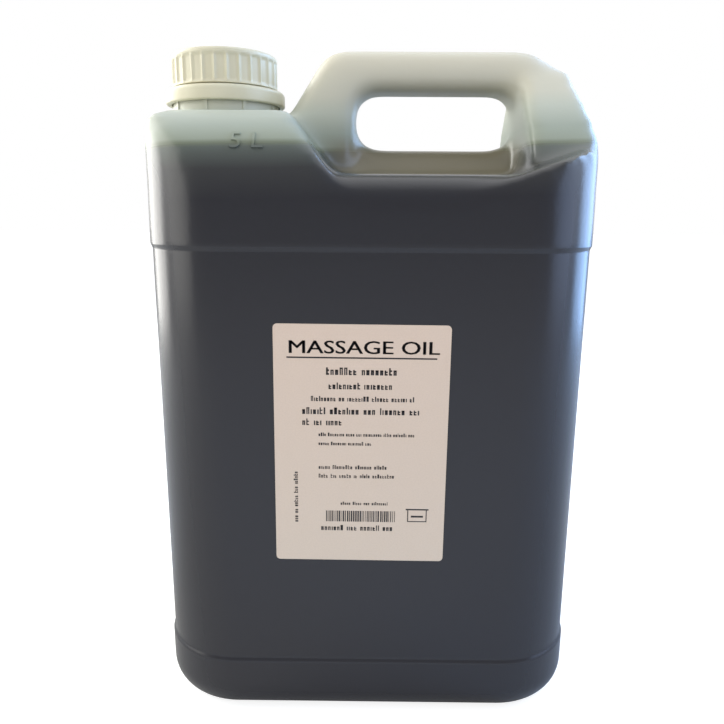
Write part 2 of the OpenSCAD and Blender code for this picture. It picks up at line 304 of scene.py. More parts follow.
def remeshed(bm, voxel):
    """The one outer skin of overlapping closed solids, as an even mesh."""
    mesh = bpy.data.meshes.new("skin")
    bm.to_mesh(mesh)
    bm.free()
    made = bpy.data.objects.new("skin", mesh)
    bpy.context.scene.collection.objects.link(made)
    modifier = made.modifiers.new("remesh", "REMESH")
    modifier.mode = "VOXEL"
    modifier.voxel_size = voxel
    bpy.context.view_layer.update()
    result = bpy.data.meshes.new_from_object(
        made.evaluated_get(bpy.context.evaluated_depsgraph_get()))
    out = bmesh.new()
    out.from_mesh(result)
    bpy.data.objects.remove(made)
    bpy.data.meshes.remove(mesh)
    bpy.data.meshes.remove(result)
    return out


def soft_step(value, start, end):
    """0 below start, 1 above end, and smooth between."""
    t = min(1, max(0, (value - start) / (end - start)))
    return t * t * (3 - 2 * t)


# ---- finishes -------------------------------------------------------------------------------


def natural_polyethylene(settings):
    """Natural HDPE, blow-moulded: milky and satin, dark where oil wets its inside, with the faint
    orange peel of a sand-blasted mould."""
    material, tree, shader = new_material("natural_hdpe_blow_moulded", IOR=1.54)
    place = node(tree, "ShaderNodeTexCoord").outputs["Object"]
    axes = node(tree, "ShaderNodeSeparateXYZ", {"Vector": place}).outputs
    wobble = node(tree, "ShaderNodeTexNoise", {"Vector": place},
                  {"Scale": 22.0, "Detail": 2.0}).outputs["Fac"]
    level = node(tree, "ShaderNodeMath", {0: wobble}, {1: 0.0016}, operation="MULTIPLY").outputs[0]
    level = node(tree, "ShaderNodeMath", {0: axes["Z"], 1: level}, operation="ADD").outputs[0]
    # The surface lies a little higher towards the handle's post
    tilt = node(tree, "ShaderNodeMath", {0: axes["X"]}, {1: -0.02}, operation="MULTIPLY").outputs[0]
    level = node(tree, "ShaderNodeMath", {0: level, 1: tilt}, operation="ADD").outputs[0]
    # Height from 35 mm under the oil's surface to 35 mm above it, as 0 to 1
    height = node(tree, "ShaderNodeMapRange", {"Value": level}, {
        "From Min": OIL_Z - 35 * MM, "From Max": OIL_Z + 35 * MM}).outputs["Result"]
    milky = linear(settings.shell_colour)
    graded = ramp(tree, height, [
        (0.0, linear(settings.oil_colour)), (0.2, linear(settings.oil_colour)),
        (0.36, linear("#373839")), (0.475, linear("#565d58")), (0.497, linear("#69715f")),
        (0.52, linear("#8d9687")), (0.6, milky), (0.72, linear("#b6bcae")),
        (0.82, linear("#c6c5b4")), (1.0, linear("#cfcbb8"))])
    # Thin oil in the web under the finger opening lets a brown light through
    across = node(tree, "ShaderNodeMath", {0: axes["Y"]}, operation="ABSOLUTE").outputs[0]
    near = node(tree, "ShaderNodeMapRange", {"Value": across}, {
        "From Min": 30 * MM, "From Max": 12 * MM}).outputs["Result"]
    along = node(tree, "ShaderNodeMath", {0: axes["X"]}, {1: 25 * MM}, operation="SUBTRACT").outputs[0]
    along = node(tree, "ShaderNodeMath", {0: along}, operation="ABSOLUTE").outputs[0]
    along = node(tree, "ShaderNodeMapRange", {"Value": along}, {
        "From Min": 48 * MM, "From Max": 32 * MM}).outputs["Result"]
    web = node(tree, "ShaderNodeMath", {0: near, 1: along}, operation="MULTIPLY").outputs[0]
    lower = node(tree, "ShaderNodeMapRange", {"Value": axes["Z"]}, {
        "From Min": OIL_Z + 6 * MM, "From Max": OIL_Z - 1 * MM}).outputs["Result"]
    web = node(tree, "ShaderNodeMath", {0: web, 1: lower}, operation="MULTIPLY").outputs[0]
    coloured = mixed_colour(tree, web, graded, linear("#7f7a68"))
    tree.links.new(coloured, shader.inputs["Base Color"])
    rough = ramp(tree, height, [(0.0, 0.25), (0.49, 0.27), (0.6, 0.42)])
    tree.links.new(rough, shader.inputs["Roughness"])
    peel = node(tree, "ShaderNodeTexNoise", {"Vector": place}, {"Scale": 420.0, "Detail": 3.0})
    bump = node(tree, "ShaderNodeBump", {"Height": peel.outputs["Fac"]},
                {"Strength": 0.12, "Distance": 0.0003})
    tree.links.new(bump.outputs["Normal"], shader.inputs["Normal"])
    return material


def ivory_polyethylene(settings):
    """Ivory polyethylene, injection-moulded: satin, faintly see-through, with slight sink marks."""
    material, tree, shader = new_material("ivory_polyethylene_moulded", IOR=1.52, Roughness=0.38)
    place = node(tree, "ShaderNodeTexCoord").outputs["Object"]
    cloud = node(tree, "ShaderNodeTexNoise", {"Vector": place}, {"Scale": 60.0, "Detail": 2.0})
    colour = ramp(tree, cloud.outputs["Fac"], [
        (0.3, linear(settings.cap_colour)), (0.75, linear("#d5d1b8"))])
    tree.links.new(colour, shader.inputs["Base Color"])
    grain = node(tree, "ShaderNodeTexNoise", {"Vector": place}, {"Scale": 900.0, "Detail": 2.0})
    bump = node(tree, "ShaderNodeBump", {"Height": grain.outputs["Fac"]},
                {"Strength": 0.08, "Distance": 0.0002})
    tree.links.new(bump.outputs["Normal"], shader.inputs["Normal"])
    return material


def label_paper(settings):
    """Machine-coated label paper: smooth and matt, cream, a little warmer towards its top edge,
    with fine fibre mottling."""
    material, tree, shader = new_material("coated_label_paper", IOR=1.45, Roughness=0.62)
    place = node(tree, "ShaderNodeTexCoord").outputs["Object"]
    height = node(tree, "ShaderNodeSeparateXYZ", {"Vector": place}).outputs["Z"]
    share = node(tree, "ShaderNodeMapRange", {"Value": height}, {
        "From Min": LABEL_LO[2], "From Max": LABEL_HI[2]}).outputs["Result"]
    tint = ramp(tree, share, [(0.0, linear(settings.paper_colour)), (1.0, linear("#dac6b5"))])
    fibre = node(tree, "ShaderNodeTexNoise", {"Vector": place}, {"Scale": 1600.0, "Detail": 4.0})
    shade = ramp(tree, fibre.outputs["Fac"], [(0.3, 0.94), (0.7, 1.0)])
    tree.links.new(mixed_colour(tree, 1.0, tint, shade, "MULTIPLY"), shader.inputs["Base Color"])
    bump = node(tree, "ShaderNodeBump", {"Height": fibre.outputs["Fac"]},
                {"Strength": 0.1, "Distance": 0.00005})
    tree.links.new(bump.outputs["Normal"], shader.inputs["Normal"])
    return material


def black_ink():
    """Thermal-transfer ink: a near-black film, a little uneven where the ribbon laid it thin."""
    material, tree, shader = new_material("thermal_transfer_ink", IOR=1.5, Roughness=0.5)
    place = node(tree, "ShaderNodeTexCoord").outputs["Object"]
    patch = node(tree, "ShaderNodeTexNoise", {"Vector": place}, {"Scale": 700.0, "Detail": 3.0})
    colour = ramp(tree, patch.outputs["Fac"], [(0.3, linear("#1c1a1e")), (0.8, linear("#3a3638"))])
    tree.links.new(colour, shader.inputs["Base Color"])
    return material


def foamed_liner():
    """Foamed polyethylene sealing disc: chalky white with fine closed cells."""
    material, tree, shader = new_material("foamed_polyethylene", IOR=1.5, Roughness=0.7)
    place = node(tree, "ShaderNodeTexCoord").outputs["Object"]
    cells = node(tree, "ShaderNodeTexVoronoi", {"Vector": place}, {"Scale": 1400.0})
    colour = ramp(tree, cells.outputs["Distance"], [(0.0, linear("#dcdad2")), (0.7, linear("#f2f1ea"))])
    tree.links.new(colour, shader.inputs["Base Color"])
    return material


def dark_massage_oil():
    """Massage oil: a very dark blue-green liquid with a wet, smooth surface."""
    material, tree, shader = new_material("dark_massage_oil", IOR=1.47, Roughness=0.05)
    place = node(tree, "ShaderNodeTexCoord").outputs["Object"]
    drift = node(tree, "ShaderNodeTexNoise", {"Vector": place}, {"Scale": 9.0, "Detail": 1.0})
    colour = ramp(tree, drift.outputs["Fac"], [(0.3, linear("#131a22")), (0.7, linear("#19232b"))])
    tree.links.new(colour, shader.inputs["Base Color"])
    return material


FINISHES = {}


def finish(name, maker, *args):
    """Makes each finish once."""
    if name not in FINISHES:
        FINISHES[name] = maker(*args)
    return FINISHES[name]


# ---- settings -------------------------------------------------------------------------------


class CanisterSettings(bpy.types.PropertyGroup):
    """Sizes and colours of the canister."""

    oil_colour: bpy.props.StringProperty(
        name="Filled part", description="Colour of the wall below the oil's surface",
        default="#28282d")
    shell_colour: bpy.props.StringProperty(
        name="Empty part", description="Colour of the wall above the oil's surface",
        default="#9aa396")
    panel_in: bpy.props.FloatProperty(
        name="Panel depth", description="How far the panels lie behind the bands",
        default=0.8 * MM, unit="LENGTH", subtype="DISTANCE")
    voxel: bpy.props.FloatProperty(
        name="Skin mesh", description="Edge length of the moulded skin's mesh",
        default=1.9 * MM, min=1.2 * MM, unit="LENGTH", subtype="DISTANCE")


class ClosureSettings(bpy.types.PropertyGroup):
    """Sizes and colour of the closure."""

    cap_colour: bpy.props.StringProperty(
        name="Cap colour", description="Colour of the cap and its tamper band", default="#cbc6ab")
    ribs: bpy.props.IntProperty(
        name="Ribs", description="Number of ribs round the cap", default=28, min=12)
    flute: bpy.props.FloatProperty(
        name="Flute depth", description="Depth of the flutes between the ribs",
        default=0.75 * MM, unit="LENGTH", subtype="DISTANCE")


class LabelSettings(bpy.types.PropertyGroup):
    """Finish and layout of the label."""

    paper_colour: bpy.props.StringProperty(
        name="Paper", description="Colour of the label's paper", default="#d6c8b9")
    heading: bpy.props.StringProperty(
        name="Heading", description="Generic heading on the label", default="MASSAGE OIL")


# ---- canister -------------------------------------------------------------------------------


class CANISTER_OT_shell(bpy.types.Operator):
    """Moulds the canister's skin: body, shoulders, scoops and handle"""

    bl_idname = "canister.shell"
    bl_label = "Canister"

    def execute(self, context):
        settings = context.scene.canister
        base_r, side_r, shoulder_r, crest_r = 13 * MM, 15 * MM, 33 * MM, 13 * MM
        deck = DECK_Z - 1.6 * MM  # the skin sags a little below the neck's foot
        shoulder_z = deck - shoulder_r
        buried = 100 * MM  # where the upper blocks end, inside the body
        soft_z = 222 * MM  # the mould's walls are straight below, its top is soft above
        skin = bmesh.new()

        # Body up to the crest of the front and back walls
        bm = block((-HALF_W, -HALF_D, 0), (HALF_W, HALF_D, CREST_Z))
        round_edges(bm, [e for e in bm.edges if upright(e)], CORNER_R, 12)
        round_edges(bm, [e for e in bm.edges if not upright(e)
                         and max(v.co.z for v in e.verts) < 1e-5], base_r, 6)
        round_edges(bm, [e for e in bm.edges if not upright(e)
                         and min(v.co.z for v in e.verts) > CREST_Z - 1e-5], crest_r, 7)
        join(skin, bm)

        # Dome that carries the neck
        bm = block((-HALF_W, -HALF_D, buried), (0, HALF_D, deck))
        round_edges(bm, [e for e in bm.edges if upright(e) and e.verts[0].co.x < NECK_X], CORNER_R, 12)
        for side in (-1, 1):
            slice_round(bm, (0, side * (HALF_D - shoulder_r), shoulder_z), shoulder_r,
                        [90 + side * (a - 90) for a in range(5, 90, 10)], "X")
        slice_round(bm, (-HALF_W + side_r, 0, deck - side_r), side_r, range(100, 180, 13), "Y")
        foot = Vector((NECK_X + 50 * MM, 0, CREST_Z))
        lean = Vector((-20 * MM, 0, SCOOP_DROP))
        slice_off(bm, foot, Vector((lean.z, 0, -lean.x)).normalized())
        join(skin, bm)

        # Crest that rises to the right-hand corner
        bm = block((40 * MM, -HALF_D, buried), (HALF_W, HALF_D, deck))
        round_edges(bm, [e for e in bm.edges if upright(e) and e.verts[0].co.x > HALF_W / 2], CORNER_R, 12)
        for side in (-1, 1):
            slice_round(bm, (0, side * (HALF_D - shoulder_r), shoulder_z), shoulder_r,
                        [90 + side * (a - 90) for a in range(5, 90, 10)], "X")
        slice_off(bm, Vector((HALF_W - 36 * MM, 0, CREST_Z)), Vector((-13, 0, 36)).normalized())
        join(skin, bm)

        # Post that narrows from the crest up to the grip
        bm = block((20 * MM, -HALF_D, 180 * MM), (HALF_W, HALF_D, TOP_Z - 9 * MM))
        round_edges(bm, [e for e in bm.edges if upright(e) and e.verts[0].co.x > HALF_W / 2], CORNER_R, 12)
        slice_off(bm, Vector((63 * MM, 0, 0)), Vector((-1, 0, 0)))
        for side in (-1, 1):
            slice_off(bm, Vector((0, side * 48.5 * MM, CREST_Z)),
                      Vector((0, side * 44, 34.5)).normalized())
        slice_off(bm, Vector((HALF_W, 0, 245 * MM)), Vector((31, 0, 9)).normalized())
        join(skin, bm)

        # Grip with its opening, and the thinner web that closes the opening below
        handle = [(NECK_X + 20 * MM, 215 * MM, 0), (HALF_W - 1 * MM, 215 * MM, 0),
                  (HALF_W, 245 * MM, 20 * MM), (HALF_W - 9 * MM, TOP_Z - 9 * MM, 10 * MM),
                  (HALF_W - 25 * MM, TOP_Z, 14 * MM), (NECK_X + 46 * MM, TOP_Z, 14 * MM),
                  (NECK_X + 28 * MM, deck, 7 * MM), (NECK_X + 20 * MM, deck - 3 * MM, 0)]
        left, right = NECK_X + 58 * MM, HALF_W - 29.5 * MM
        low, high = 245 * MM, TOP_Z - 17 * MM
        window = [(left, low, 9 * MM), (right, low, 9 * MM), (right, high, 9 * MM), (left, high, 9 * MM)]
        tall = [(left, 222 * MM, 0), (right, 222 * MM, 0), (right, high, 9 * MM), (left, high, 9 * MM)]
        join(skin, plate([rounded_polygon(handle), rounded_polygon(tall)[::-1]], 14 * MM, 7.5 * MM))
        web = [(left - 8 * MM, 222 * MM, 0), (right + 8 * MM, 222 * MM, 0),
               (right + 8 * MM, high + 6 * MM, 0), (left - 8 * MM, high + 6 * MM, 0)]
        join(skin, plate([rounded_polygon(web), rounded_polygon(window)[::-1]], 5 * MM, 2 * MM))
        bm = block((left - 8 * MM, -14 * MM, 215 * MM), (right + 8 * MM, 14 * MM, 242 * MM))
        for side in (-1, 1):
            slice_off(bm, Vector((0, side * 14 * MM, 230 * MM)),
                      Vector((0, side * 12, 9)).normalized())
        join(skin, bm)

        bm = remeshed(skin, settings.voxel)

        # The mould's edges above the walls are soft, and its hollows softest
        for rounds, floor_z, roof_z in ((10, soft_z, TOP_Z), (8, 224 * MM, DECK_Z - 8 * MM)):
            soft = [v for v in bm.verts if floor_z < v.co.z < roof_z + 1 * MM]
            for _ in range(rounds):
                bmesh.ops.smooth_vert(bm, verts=soft, factor=0.5,
                                      use_axis_x=True, use_axis_y=True, use_axis_z=True)

        # Walls with their two bands: each level of vertices is set on the moulding's true section
        band_z = DECK_Z - 54.5 * MM
        foot_z = 26 * MM
        step, rise = settings.panel_in, 2 * MM
        for z in (foot_z, foot_z + rise / 2, foot_z + rise, band_z - rise, band_z - rise / 2, band_z):
            bmesh.ops.bisect_plane(bm, geom=bm.verts[:] + bm.edges[:] + bm.faces[:], dist=2e-5,
                                   plane_co=(0, 0, z), plane_no=(0, 0, 1))
        core_x, core_y = HALF_W - CORNER_R, HALF_D - CORNER_R
        for v in bm.verts:
            if v.co.z > soft_z:
                continue
            core = Vector((min(core_x, max(-core_x, v.co.x)), min(core_y, max(-core_y, v.co.y)), 0))
            out = Vector((v.co.x, v.co.y, 0)) - core
            if out.length < 0.5 * CORNER_R:
                v.co.z = 0 if v.co.z < base_r else v.co.z
                continue
            reach = CORNER_R - step * soft_step(min(v.co.z - foot_z, band_z - v.co.z), 0, rise)
            way = out.normalized()
            if v.co.z < base_r:
                inner = core + way * (CORNER_R - base_r) + Vector((0, 0, base_r))
                beyond = v.co - inner
                if beyond.dot(way) < 0:
                    v.co.z = 0
                else:
                    v.co = inner + beyond.normalized() * base_r
                continue
            blend = soft_step(v.co.z, soft_z - 12 * MM, soft_z)
            goal = core + way * reach
            v.co.x += (goal.x - v.co.x) * (1 - blend)
            v.co.y += (goal.y - v.co.y) * (1 - blend)
        bmesh.ops.recalc_face_normals(bm, faces=bm.faces)
        filling = bm.copy()
        self.raise_volume_mark(bm, deck, shoulder_r)
        piece = finish_piece(bm, "canister_skin", finish("shell", natural_polyethylene, settings),
                             "filled_canister", ["canister"])
        sharpen(piece, 28)

        # Oil up to its surface, a wall's thickness inside the skin
        filling.normal_update()
        for v, inwards in [(v, -v.normal) for v in filling.verts]:
            v.co += inwards * WALL
        slice_off(filling, Vector((0, 0, OIL_Z)), Vector((0, 0, 1)))
        bmesh.ops.recalc_face_normals(filling, faces=filling.faces)
        oil = finish_piece(filling, "oil", finish("oil", dark_massage_oil),
                           "filled_canister", ["massage_oil"])
        sharpen(oil, 40)
        return {"FINISHED"}

    def raise_volume_mark(self, bm, deck, radius):
        """Adds the moulded volume mark, raised on the left front shoulder."""
        mark = letters("5 L", 10.5 * MM, 1 * MM)
        width = max(v.co.x for v in mark.verts)
        bmesh.ops.scale(mark, verts=mark.verts, vec=(12.5 * MM / width, 1, 1))
        middle = max(v.co.z for v in mark.verts) / 2
        bmesh.ops.translate(mark, verts=mark.verts, vec=(0, 0, -middle))
        climb = math.radians(35)
        facing = Vector((0, -math.cos(climb), math.sin(climb)))
        spot = Vector((-53 * MM, -HALF_D + radius, deck - radius)) + facing * (radius - 0.55 * MM)
        turned = Matrix.Translation(spot) @ Matrix.Rotation(-climb, 4, "X")
        bmesh.ops.transform(mark, matrix=turned, verts=mark.verts)
        join(bm, mark)


class CANISTER_OT_neck(bpy.types.Operator):
    """Turns the neck with its collar, bead, thread and ratchet ribs"""

    bl_idname = "canister.neck"
    bl_label = "Neck"

    def execute(self, context):
        centre = Vector((NECK_X, 0, 0))
        core, bore, collar = 18.3 * MM, 16 * MM, 23 * MM
        bead_z = DECK_Z + 6.2 * MM
        profile = [(bore, DECK_Z - 11 * MM), (collar, DECK_Z - 11 * MM)]
        profile += arc((collar - 0.5 * MM, DECK_Z + 3.7 * MM), 0.5 * MM, 0, 90, 3)
        profile += arc((core + 0.6 * MM, DECK_Z + 4.8 * MM), 0.6 * MM, 270, 180, 3)
        profile += arc((core + 0.9 * MM, bead_z + 0.4 * MM), 0.4 * MM, 270, 360, 2)
        profile += [(core, bead_z + 1.5 * MM), (core, RIM_Z - 0.7 * MM)]
        profile += arc((core - 0.7 * MM, RIM_Z - 0.7 * MM), 0.7 * MM, 0, 90, 3)
        profile += arc((bore + 0.5 * MM, RIM_Z - 0.5 * MM), 0.5 * MM, 90, 180, 3)
        bm = bmesh.new()
        spun(bm, profile + [profile[0]], 96, centre)

        # Thread: one tooth swept up its helix
        per_turn, turns = 64, 2.37
        steps = int(per_turn * turns)
        start_z = RIM_Z - 2.8 * MM - PITCH * steps / per_turn
        tooth = bmesh.new()
        shape = [(core - 0.5 * MM, -1.2 * MM), (core + 1.3 * MM, -0.75 * MM),
                 (core + 1.6 * MM, -0.3 * MM), (core + 1.6 * MM, 0.3 * MM),
                 (core + 1.3 * MM, 0.75 * MM), (core - 0.5 * MM, 1.2 * MM)]
        ring = [tooth.verts.new((NECK_X + r, 0, start_z + z)) for r, z in shape]
        face = tooth.faces.new(ring)
        bmesh.ops.spin(tooth, geom=[face], cent=centre, axis=(0, 0, 1),
                       dvec=(0, 0, PITCH / per_turn), angle=2 * math.pi * steps / per_turn, steps=steps)
        tidy(tooth, 1e-7)
        join(bm, tooth)

        # Ratchet ribs that hold the tamper band
        ratchets = 9
        for i in range(ratchets):
            rib = block((collar - 0.6 * MM, -0.7 * MM, DECK_Z - 3.5 * MM),
                        (collar + 0.5 * MM, 0.7 * MM, DECK_Z + 4 * MM))
            round_edges(rib, [e for e in rib.edges if upright(e)], 0.35 * MM, 3)
            bmesh.ops.rotate(rib, verts=rib.verts, cent=(0, 0, 0),
                             matrix=Matrix.Rotation(2 * math.pi * (i + 0.5) / ratchets, 3, "Z"))
            bmesh.ops.translate(rib, verts=rib.verts, vec=centre)
            join(bm, rib)
        piece = finish_piece(bm, "neck", finish("shell", natural_polyethylene,
                                                context.scene.canister),
                             "filled_canister")
        sharpen(piece)
        return {"FINISHED"}


# ---- closure --------------------------------------------------------------------------------


class CANISTER_OT_cap(bpy.types.Operator):
    """Turns the screw cap, and presses its flutes and its thread"""

    bl_idname = "canister.cap"
    bl_label = "Screw cap"

    def execute(self, context):
        settings = context.scene.closure
        centre = Vector((NECK_X, 0, 0))
        outer, inner = (CAP_HI[0] - CAP_LO[0]) / 2, 20.3 * MM
        low, high = CAP_LO[2], CAP_HI[2]
        ceiling = high - 1.8 * MM
        wall = [(outer, low + 0.2 * MM + (high - low - 2.2 * MM) * i / 24) for i in range(25)]
        profile = [(inner, low), (outer - 0.2 * MM, low)] + wall
        profile += arc((outer - 2 * MM, high - 2 * MM), 2 * MM, 0, 90, 6)[1:]
        dish = high - 0.12 * MM  # the top's middle lies a little lower
        pole = 0.001 * MM
        profile += [(14 * MM, high), (13.4 * MM, dish), (6 * MM, dish), (pole, dish)]
        profile += [(pole, ceiling), (inner - 0.4 * MM, ceiling), (inner, ceiling - 0.4 * MM),
                    (inner, low)]
        bm = bmesh.new()
        per_rib = 10
        spun(bm, profile, settings.ribs * per_rib, centre)
        bmesh.ops.remove_doubles(bm, verts=bm.verts, dist=0.01 * MM)
        bmesh.ops.recalc_face_normals(bm, faces=bm.faces)

        # Wide flutes between narrow ribs, each with rounded ends below the plain top edge
        for v in bm.verts:
            flat = Vector((v.co.x - NECK_X, v.co.y, 0))
            if flat.length < outer - 0.05 * MM or v.co.z > high - 1.9 * MM:
                continue
            share = (math.atan2(flat.y, flat.x) / (2 * math.pi) * settings.ribs) % 1
            across = abs(share - 0.5) * 2
            hollow = 1 - soft_step(across, 0.62, 0.96)
            ends = soft_step(v.co.z, low + 0.5 * MM, low + 1.5 * MM) * (
                1 - soft_step(v.co.z, high - 3.3 * MM, high - 2.2 * MM))
            flat.length = outer - settings.flute * hollow * ends
            v.co.x, v.co.y = NECK_X + flat.x, flat.y

        # Thread inside the cap
        per_turn, turns = 48, 1.1
        tooth = bmesh.new()
        shape = [(inner + 0.5 * MM, -1.2 * MM), (inner - 1.6 * MM, -0.6 * MM),
                 (inner - 1.6 * MM, 0.6 * MM), (inner + 0.5 * MM, 1.2 * MM)]
        start_z = RIM_Z - 6.3 * MM
        ring = [tooth.verts.new((NECK_X + r, 0, start_z + z)) for r, z in shape]
        face = tooth.faces.new(ring)
        bmesh.ops.spin(tooth, geom=[face], cent=centre, axis=(0, 0, 1),
                       dvec=(0, 0, PITCH / per_turn), angle=2 * math.pi * turns,
                       steps=round(per_turn * turns))
        tidy(tooth, 1e-7)
        join(bm, tooth)
        piece = finish_piece(bm, "cap", finish("cap", ivory_polyethylene, settings), "cap",
                             ["screw_cap"])
        sharpen(piece, 50)
        return {"FINISHED"}


class CANISTER_OT_band(bpy.types.Operator):
    """Turns the tamper band, and gives its bridges and the sealing disc their finish"""

    bl_idname = "canister.band"
    bl_label = "Tamper band"

    def execute(self, context):
        centre = Vector((NECK_X, 0, 0))
        outer = (BAND_HI[0] - BAND_LO[0]) / 2
        cap_r = (CAP_HI[0] - CAP_LO[0]) / 2
        low, high = BAND_LO[2], BAND_HI[2]
        foot_r, lip_r, inner = 23.8 * MM, 18.95 * MM, 20.2 * MM
        lip_z = DECK_Z + 4.5 * MM
        profile = [(foot_r, low), (outer - 0.8 * MM, low)]
        profile += arc((outer - 0.8 * MM, low + 0.8 * MM), 0.8 * MM, 270, 360, 4)[1:]
        profile += arc((outer - 2 * MM, high - 2.3 * MM), 2 * MM, 0, 72, 6)
        profile += [(cap_r + 0.3 * MM, high - 0.12 * MM), (cap_r, high), (inner, high)]
        profile += [(inner, lip_z + 1.4 * MM), (lip_r, lip_z + 1.4 * MM), (lip_r, lip_z),
                    (foot_r, lip_z), (foot_r, low)]
        bm = bmesh.new()
        spun(bm, profile, 144, centre)
        finish_cap = finish("cap", ivory_polyethylene, context.scene.closure)
        piece = finish_piece(bm, "band", finish_cap, "filled_canister", ["tamper_band"])
        sharpen(piece, 40)
        for name, material in (("tamper_bridges", finish_cap),
                               ("cap_liner", finish("liner", foamed_liner))):
            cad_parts[name].data.materials.clear()
            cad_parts[name].data.materials.append(material)
        return {"FINISHED"}


# ---- label ----------------------------------------------------------------------------------


INK_FILM = 0.03 * MM  # how far the print stands proud of the paper

# Lines of print in mm: start, end, distance below the label's top, height and gap between words
PRINT_ROWS = ((-14, 15, 20.2, 3.0, 0.9), (-13, 13, 26.0, 2.7, 0.7), (-20, 22, 31.0, 2.1, 0.7),
              (-23.5, 24, 36.4, 2.8, 0.9), (-23.5, -4, 41.0, 2.7, 0.9), (-17, 22, 45.6, 1.5, 0.6),
              (-17, 5, 49.4, 1.5, 0.6), (-17, 12, 59.6, 1.7, 0.9), (-17, 14, 63.4, 1.7, 0.9),
              (-8, 13, 75.2, 1.4, 0.9))

# Outline of an open jar in mm: left, right, and lower and upper distance below the label's top
OPEN_JAR = ((19.5, 27.5, 82.4, 82.0), (19.5, 19.9, 82.0, 77.2), (27.1, 27.5, 82.0, 77.2),
            (18.8, 28.2, 77.2, 76.6), (21, 26, 80.4, 79.6))


def bar(ink, x0, x1, z0, z1):
    """One rectangle of print, which starts just inside the paper."""
    join(ink, block((x0, -INK_FILM, z0), (x1, 0.01 * MM, z1)))


def words(ink, rng, x0, x1, z, size, gap=0.9):
    """A line of unreadable print: three kinds of short strokes, grouped into words."""
    x = x0
    while x < x1 - size:
        count = rng.randint(2, 9)
        for _ in range(count):
            if x > x1 - size * 0.5:
                break
            stroke = size * rng.uniform(0.16, 0.24)
            tall = size * rng.choice([0.68, 0.68, 0.7, 1.0, 0.7])
            kind = rng.random()
            if kind < 0.5:
                wide = size * 0.42
                bar(ink, x, x + stroke, z, z + tall)
                bar(ink, x, x + wide, z + tall - stroke, z + tall)
                bar(ink, x + wide - stroke, x + wide, z, z + tall)
                x += size * 0.6
            elif kind < 0.8:
                wide = size * 0.4
                bar(ink, x, x + wide, z, z + stroke)
                bar(ink, x, x + stroke, z, z + tall)
                bar(ink, x, x + wide, z + tall * 0.5, z + tall * 0.5 + stroke)
                x += size * 0.58
            else:
                bar(ink, x, x + stroke, z, z + tall)
                x += size * 0.34
        x += size * gap * 0.6


def heading_line(ink, text, x, z, size, wide):
    """Letters stretched to a width."""
    line = letters(text, size, INK_FILM)
    stretch = wide / max(v.co.x for v in line.verts)
    bmesh.ops.scale(line, verts=line.verts, vec=(stretch, 1, 1))
    bmesh.ops.translate(line, verts=line.verts, vec=(x, 0, z))
    join(ink, line)


class CANISTER_OT_label(bpy.types.Operator):
    """Cuts the paper label and lays its generic print on it"""

    bl_idname = "canister.label"
    bl_label = "Label"

    def execute(self, context):
        settings = context.scene.label
        tilt = math.radians(0.3)
        middle = Vector(((LABEL_LO[0] + LABEL_HI[0]) / 2, LABEL_HI[1], (LABEL_LO[2] + LABEL_HI[2]) / 2))
        width, height, thick = 69.5 * MM, 100 * MM, LABEL_HI[1] - LABEL_LO[1]
        turn = Matrix.Rotation(tilt, 3, "Y")
        bm = block((-width / 2, -thick, -height / 2), (width / 2, 0, height / 2))
        round_edges(bm, [e for e in bm.edges if abs(e.verts[0].co.y - e.verts[1].co.y) > thick / 2],
                    1.7 * MM, 6)
        bmesh.ops.rotate(bm, verts=bm.verts, cent=(0, 0, 0), matrix=turn)
        bmesh.ops.translate(bm, verts=bm.verts, vec=middle)
        bmesh.ops.recalc_face_normals(bm, faces=bm.faces)
        piece = finish_piece(bm, "label_sheet", finish("paper", label_paper, settings),
                             "filled_canister", ["front_label"])
        for polygon in piece.data.polygons:
            polygon.use_smooth = False

        ink = bmesh.new()
        rng = random.Random(7)
        top = height / 2
        # Laid down twice, a little apart, for a bold face
        for nudge in (0, 0.3 * MM):
            heading_line(ink, settings.heading, -28.6 * MM + nudge, top - 11.6 * MM, 7.4 * MM, 58.8 * MM)
        bar(ink, -29.5 * MM, 29.5 * MM, top - 13.6 * MM, top - 13.0 * MM)
        for x0, x1, drop, size, gap in PRINT_ROWS:
            words(ink, rng, x0 * MM, x1 * MM, top - drop * MM, size * MM, gap)
        # Random stripes where a machine-readable code would be
        x = -14 * MM
        while x < 14.5 * MM:
            wide = rng.choice([0.25, 0.25, 0.4, 0.6]) * MM
            bar(ink, x, x + wide, top - 82.6 * MM, top - 77.8 * MM)
            x += wide + rng.choice([0.3, 0.3, 0.5]) * MM
        words(ink, rng, -16 * MM, 14 * MM, top - 86.6 * MM, 2.4 * MM, 0.8)
        for x0, x1, low, high in OPEN_JAR:
            bar(ink, x0 * MM, x1 * MM, top - low * MM, top - high * MM)

        # Small line that runs up the left edge
        rising = bmesh.new()
        words(rising, rng, 0, 23 * MM, 0, 1.7 * MM)
        bmesh.ops.rotate(rising, verts=rising.verts, cent=(0, 0, 0),
                         matrix=Matrix.Rotation(-math.pi / 2, 3, "Y"))
        bmesh.ops.translate(rising, verts=rising.verts, vec=(-25.5 * MM, 0, top - 83 * MM))
        join(ink, rising)
        bmesh.ops.rotate(ink, verts=ink.verts, cent=(0, 0, 0), matrix=turn)
        bmesh.ops.translate(ink, verts=ink.verts, vec=middle - Vector((0, thick, 0)))
        printed = finish_piece(ink, "label_print", finish("ink", black_ink), "filled_canister")
        for polygon in printed.data.polygons:
            polygon.use_smooth = False
        return {"FINISHED"}


# ---- stage ----------------------------------------------------------------------------------


